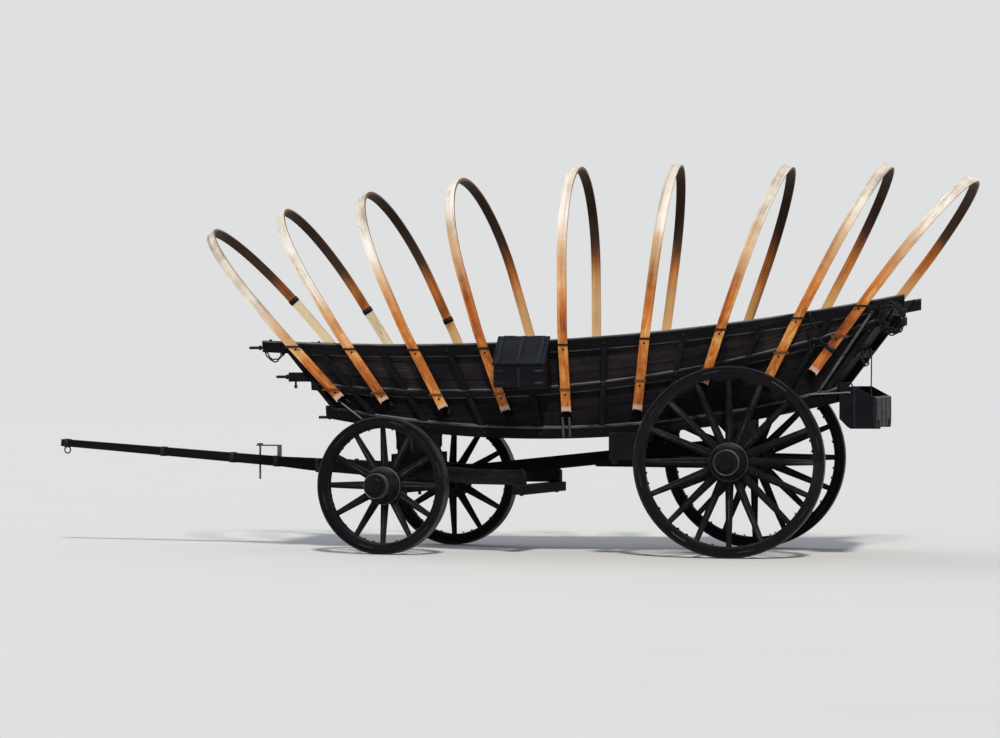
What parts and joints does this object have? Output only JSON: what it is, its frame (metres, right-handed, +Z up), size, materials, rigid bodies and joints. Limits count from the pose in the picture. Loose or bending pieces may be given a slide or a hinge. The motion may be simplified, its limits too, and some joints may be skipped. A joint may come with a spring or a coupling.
{
  "type": "covered wagon",
  "caption": "Horse-age freight wagon: boat-shaped bed with raked ends, bare bent-wood bows, spoked wheels with iron tyres, side toolbox, feed trough and long tongue.",
  "frame": {"origin": "on the ground under the middle of the overall length, on the bed's centre line", "axes": "+X towards the tail, -X the way it is drawn, +Y its right side, +Z up"},
  "size_m": [7.9087, 2.101, 3.1797],
  "materials": {
    "dark_wood": "weathered, almost black",
    "board_wood": "weathered boards",
    "bow_wood": "honey-brown, bleached on top",
    "wheel_wood": "weathered grey",
    "iron": "worn wrought iron"
  },
  "bodies": {
    "bed": {"bow_1": "bow_wood", "bow_2": "bow_wood", "bow_3": "bow_wood", "bow_4": "bow_wood", "bow_5": "bow_wood", "bow_6": "bow_wood", "bow_7": "bow_wood", "bow_8": "bow_wood", "bow_9": "bow_wood", "bow_staples_left": "iron", "bow_staples_right": "iron", "brake_beam": "dark_wood", "cross_sills": "dark_wood", "feed_trough": "dark_wood", "floor": "board_wood", "front_bolster": "dark_wood", "front_gate": "board_wood", "front_ties": "dark_wood", "kingpin": "iron", "reach": "dark_wood", "rear_axle": "dark_wood", "rear_bolster": "dark_wood", "rear_hounds": "dark_wood", "rear_ties": "dark_wood", "side_boards_left": "board_wood", "side_boards_right": "board_wood", "side_frame_left": "dark_wood", "side_frame_right": "dark_wood", "toolbox": "dark_wood", "trough_arms": "iron"},
    "front_gear": {"front_axle": "dark_wood", "sand_board": "dark_wood", "front_hounds": "dark_wood", "sway_bar": "dark_wood", "tongue": "dark_wood", "hammer_pin": "iron", "tongue_hasp": "iron"},
    "front_left_wheel": {"front_left_felloes": "wheel_wood", "front_left_hub": "wheel_wood", "front_left_tyre": "iron"},
    "rear_left_wheel": {"rear_left_felloes": "wheel_wood", "rear_left_hub": "wheel_wood", "rear_left_tyre": "iron"},
    "front_right_wheel": {"front_right_felloes": "wheel_wood", "front_right_hub": "wheel_wood", "front_right_tyre": "iron"},
    "rear_right_wheel": {"rear_right_felloes": "wheel_wood", "rear_right_hub": "wheel_wood", "rear_right_tyre": "iron"},
    "toolbox_lid": {"toolbox_lid": "dark_wood"},
    "tail_gate": {"tail_gate": "board_wood"}
  },
  "joints": [
    {"name": "steer", "type": "hinge", "parent": "bed", "child": "front_gear", "pos_m": [-0.6623, 0, 0.6], "axis": [0, 0, 1], "range_deg": [-9.8, 26.2]},
    {"name": "front_left_wheel_spin", "type": "hinge", "parent": "front_gear", "child": "front_left_wheel", "pos_m": [-0.7794, -0.8126, 0.556], "axis": [0.1426, 0.9898, 0], "continuous": true},
    {"name": "rear_left_wheel_spin", "type": "hinge", "parent": "bed", "child": "rear_left_wheel", "pos_m": [2.0377, -0.821, 0.762], "axis": [0, 1, 0], "continuous": true},
    {"name": "front_right_wheel_spin", "type": "hinge", "parent": "front_gear", "child": "front_right_wheel", "pos_m": [-0.5452, 0.8126, 0.556], "axis": [0.1426, 0.9898, 0], "continuous": true},
    {"name": "rear_right_wheel_spin", "type": "hinge", "parent": "bed", "child": "rear_right_wheel", "pos_m": [2.0377, 0.821, 0.762], "axis": [0, 1, 0], "continuous": true},
    {"name": "toolbox_lid_hinge", "type": "hinge", "parent": "bed", "child": "toolbox_lid", "pos_m": [0.3877, -0.8004, 1.758], "axis": [-1, 0, 0], "range_deg": [0, 115]},
    {"name": "tail_gate_lift", "type": "slide", "parent": "bed", "child": "tail_gate", "axis": [0.5948, 0, 0.8039], "range_m": [0, 0.45]}
  ]
}
